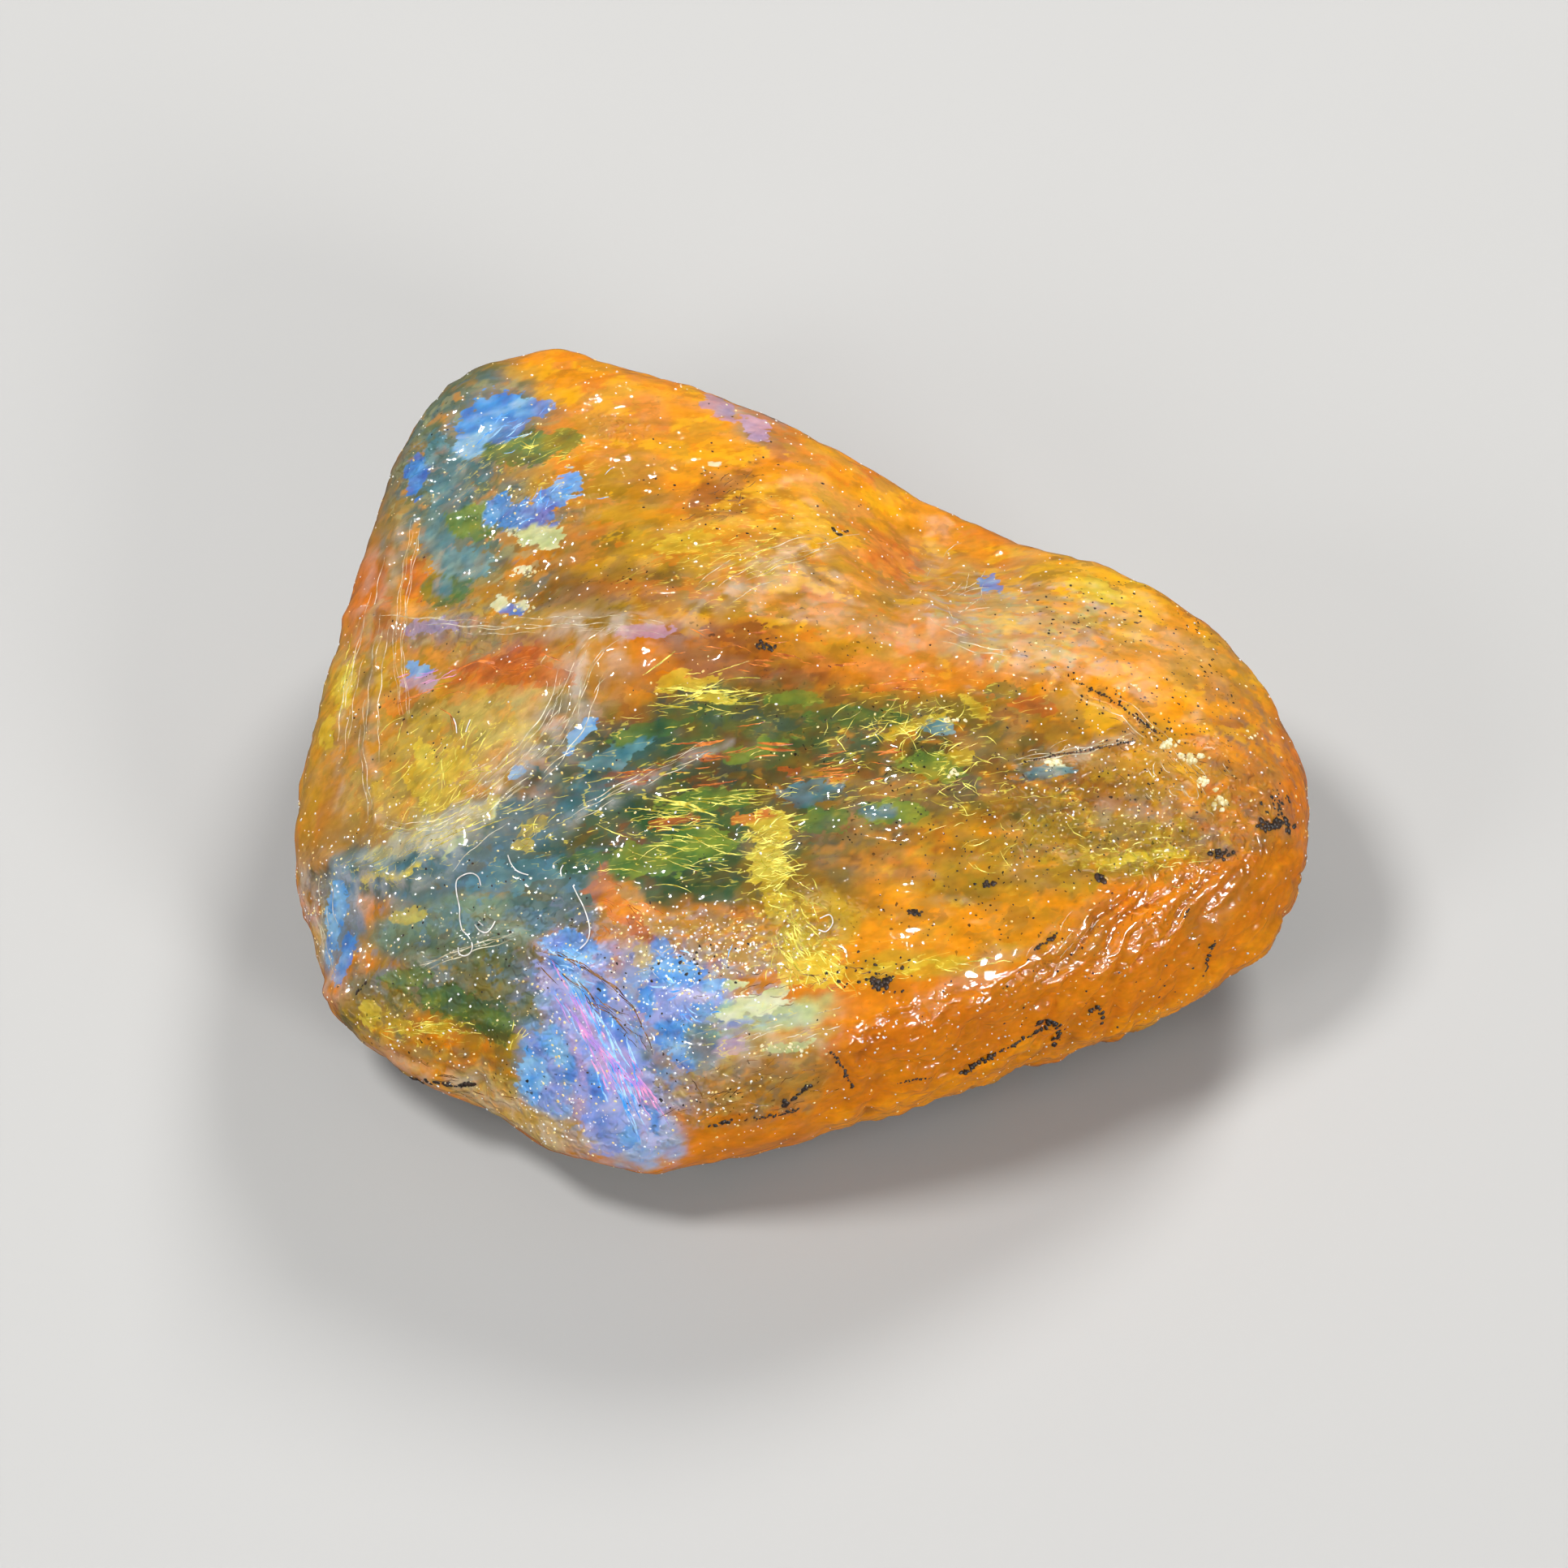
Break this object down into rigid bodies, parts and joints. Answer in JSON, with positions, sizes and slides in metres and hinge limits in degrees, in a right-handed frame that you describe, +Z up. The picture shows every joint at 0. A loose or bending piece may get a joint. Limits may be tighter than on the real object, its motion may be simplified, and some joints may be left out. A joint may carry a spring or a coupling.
{
  "type": "rough precious opal",
  "caption": "Rough, wet-polished lump of honey-orange translucent opal with patches of play-of-colour, resting on its broad worn underside.",
  "frame": {"origin": "on the resting face's level, under the middle of the stone's bounding box", "axes": "+X along the stone's longest side, towards its rounded nose; +Y towards its back; +Z up"},
  "size_m": [0.036, 0.0336, 0.0131],
  "materials": {
    "honey_opal": "glossy, translucent honey orange with flashes of blue, green, yellow and red"
  },
  "bodies": {
    "root": {"stone": "honey_opal"}
  },
  "joints": []
}
